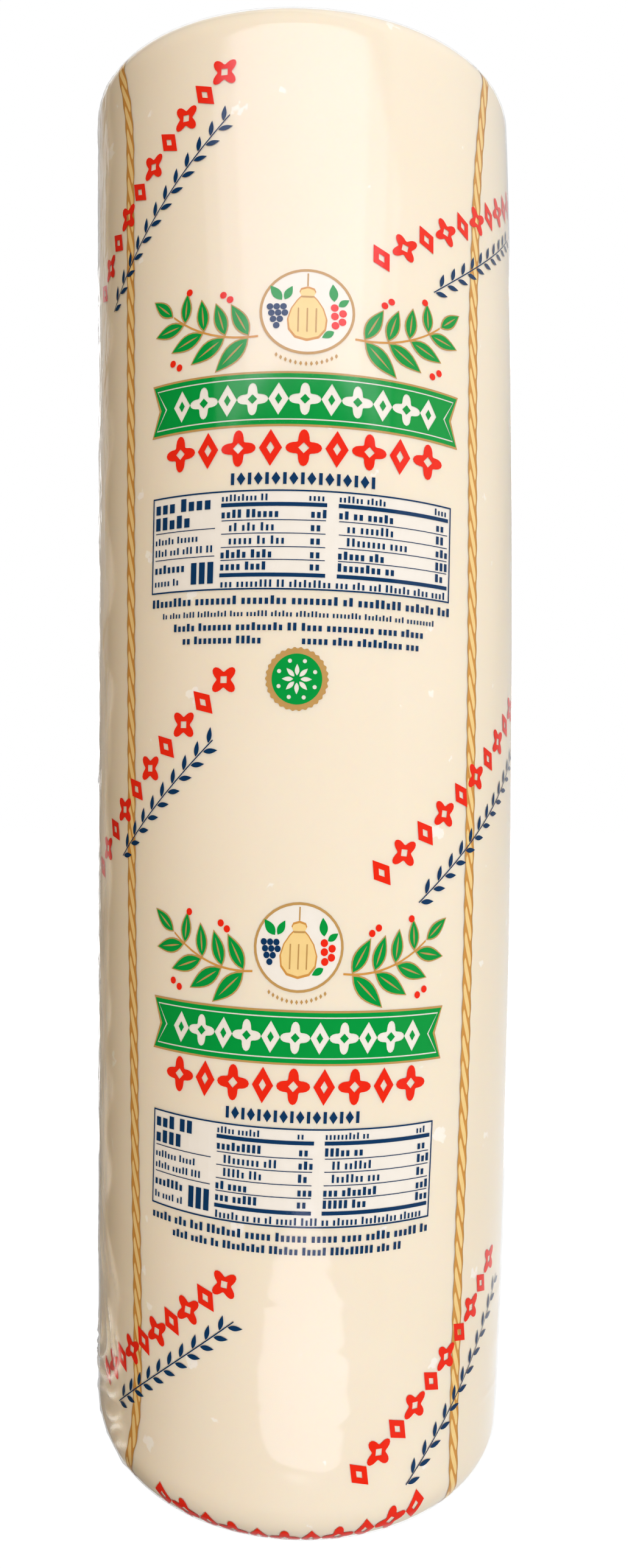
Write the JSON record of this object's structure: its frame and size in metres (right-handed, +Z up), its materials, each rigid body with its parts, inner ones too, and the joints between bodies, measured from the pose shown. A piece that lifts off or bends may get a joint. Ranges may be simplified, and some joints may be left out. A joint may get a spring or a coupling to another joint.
{
  "type": "provolone cheese log, whole, in a shrunk clear printed bag",
  "caption": "Whole provolone log, shrink-wrapped in a clear printed bag, standing on its flat end; one shut pack to slice from at a deli counter.",
  "frame": {"origin": "centre of the pack's box, on the surface it stands on", "axes": "+Z up along the log, -Y towards the printed front, +X to the viewer's right"},
  "size_m": [0.128, 0.128, 0.4163],
  "materials": {
    "wrapped_cheese": "gloss",
    "cheese": "satin",
    "clear_film": "gloss",
    "print_ink": "satin"
  },
  "bodies": {
    "root": {"wrapped_log": "wrapped_cheese"}
  },
  "joints": []
}
